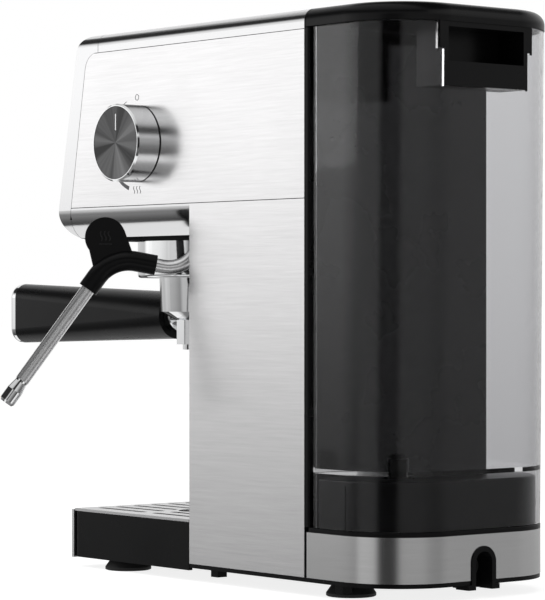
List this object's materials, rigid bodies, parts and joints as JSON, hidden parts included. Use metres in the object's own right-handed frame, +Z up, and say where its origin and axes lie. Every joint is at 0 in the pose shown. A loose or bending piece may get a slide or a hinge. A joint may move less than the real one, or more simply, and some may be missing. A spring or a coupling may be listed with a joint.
{
  "type": "espresso machine",
  "caption": "Slim pump espresso machine with a rear water tank, a steam wand, a locking filter holder and a pull-out drip tray.",
  "frame": {"origin": "bottom centre of the whole machine's bounding box, on the worktop, with the handle and the wand at rest", "axes": "+Z up; -Y is the front, where the filter holder's handle points; +Y is the rear with the water tank; +X is the side with the steam knob and the wand"},
  "size_m": [0.203, 0.4274, 0.3055],
  "materials": {
    "brushed_steel_panel": "fine horizontal brushing, satin",
    "satin_steel_band": "satin, vertical reflections",
    "satin_chrome_trim": "satin chrome",
    "polished_chrome": "polished",
    "knob_face_metal": "dark, turned with circular brushing",
    "warming_plate_steel": "brushed",
    "tray_strip_metal": "satin",
    "black_satin_plastic": "satin moulded",
    "dock_plastic": "satin moulded",
    "lid_plastic": "satin moulded",
    "handle_plastic": "soft satin",
    "control_panel_gloss": "gloss",
    "button_metal": "satin",
    "lamp_lens": "frosted lens",
    "clear_tank_plastic": "clear, lightly smoked",
    "white_plastic": "moulded",
    "soft_rubber": "matt",
    "silicone_hose": "translucent silicone",
    "ptfe_hose": "smooth",
    "galvanised_sheet": "zinc sheet",
    "cast_aluminium": "cast",
    "valve_brass": "machined",
    "steel_fittings": "machined",
    "pump_plastic": "moulded",
    "circuit_board": "lacquered board",
    "seat_plastic": "moulded"
  },
  "bodies": {
    "machine": {"head_panel_right": "brushed_steel_panel", "head_panel_left": "brushed_steel_panel", "column_panel_right": "brushed_steel_panel", "column_panel_left": "brushed_steel_panel", "column_front": "brushed_steel_panel", "base_band": "satin_steel_band", "front_frame": "satin_chrome_trim", "top_rim": "satin_chrome_trim", "chin_right": "satin_chrome_trim", "chin_left": "satin_chrome_trim", "group_head": "polished_chrome", "cup_plate": "warming_plate_steel", "rear_wall": "black_satin_plastic", "underside": "black_satin_plastic", "base_pan": "black_satin_plastic", "base_pegs": "black_satin_plastic", "cable_grommet": "black_satin_plastic", "dock_deck": "black_satin_plastic", "tank_dock": "dock_plastic", "control_panel": "control_panel_gloss", "indicator_lamps": "lamp_lens", "feet": "soft_rubber", "group_gasket": "soft_rubber", "dock_seal": "soft_rubber", "cable_gland": "soft_rubber", "pump_mounts": "soft_rubber", "inlet_hose": "silicone_hose", "pressure_hose": "ptfe_hose", "chassis": "galvanised_sheet", "boiler": "cast_aluminium", "steam_valve": "valve_brass", "steam_pipe": "steel_fittings", "shower_screen": "steel_fittings", "shower_screw": "steel_fittings", "base_screws": "steel_fittings", "pump": "pump_plastic", "control_board": "circuit_board", "wand_seat": "seat_plastic"},
    "knob": {"knob_body": "polished_chrome", "knob_face": "knob_face_metal", "valve_stem": "valve_brass"},
    "wand": {"wand_tube": "polished_chrome", "wand_nozzle": "polished_chrome", "wand_sleeve": "handle_plastic"},
    "portafilter": {"portafilter_bowl": "polished_chrome", "filter_basket": "steel_fittings", "spout": "polished_chrome", "handle_grip": "handle_plastic", "handle_cap": "polished_chrome"},
    "tray": {"drip_tray": "black_satin_plastic", "tray_strip": "tray_strip_metal"},
    "grid": {"grille": "warming_plate_steel"},
    "float": {"tray_float": "white_plastic"},
    "tank": {"tank_shell": "clear_tank_plastic", "tank_valve": "black_satin_plastic"},
    "lid": {"tank_lid": "lid_plastic", "lid_grip": "lid_plastic"},
    "key_left": {"button_left": "button_metal"},
    "key_middle": {"button_middle": "button_metal"},
    "key_right": {"button_right": "button_metal"}
  },
  "joints": [
    {"name": "knob_turn", "type": "hinge", "parent": "machine", "child": "knob", "pos_m": [0.02613, -0.00325, 0.2413], "axis": [1, 0, 0], "range_deg": [0, 165]},
    {"name": "wand_swing", "type": "hinge", "parent": "machine", "child": "wand", "pos_m": [0.00813, 0.03195, 0.1962], "axis": [0, 0, 1], "range_deg": [-28, 28]},
    {"name": "portafilter_turn", "type": "hinge", "parent": "machine", "child": "portafilter", "pos_m": [-0.03787, -0.01905, 0.17], "axis": [0, 0, 1], "range_deg": [-50, 0]},
    {"name": "tray_slide", "type": "slide", "parent": "machine", "child": "tray", "axis": [0, -1, 0], "range_m": [0, 0.11]},
    {"name": "grille_lift", "type": "slide", "parent": "tray", "child": "grid", "axis": [0, 0, 1], "range_m": [0, 0.04]},
    {"name": "float_rise", "type": "slide", "parent": "tray", "child": "float", "axis": [0, 0, 1], "range_m": [0, 0.008]},
    {"name": "tank_lift", "type": "slide", "parent": "machine", "child": "tank", "axis": [0, 0, 1], "range_m": [0, 0.15]},
    {"name": "lid_lift", "type": "slide", "parent": "tank", "child": "lid", "axis": [0, 0, 1], "range_m": [0, 0.06]},
    {"name": "press_left", "type": "slide", "parent": "machine", "child": "key_left", "axis": [0, 0.9814, -0.1919], "range_m": [0, 0.0012], "stiffness_N_per_m": 400},
    {"name": "press_middle", "type": "slide", "parent": "machine", "child": "key_middle", "axis": [0, 0.9814, -0.1919], "range_m": [0, 0.0012], "stiffness_N_per_m": 400},
    {"name": "press_right", "type": "slide", "parent": "machine", "child": "key_right", "axis": [0, 0.9814, -0.1919], "range_m": [0, 0.0012], "stiffness_N_per_m": 400}
  ]
}
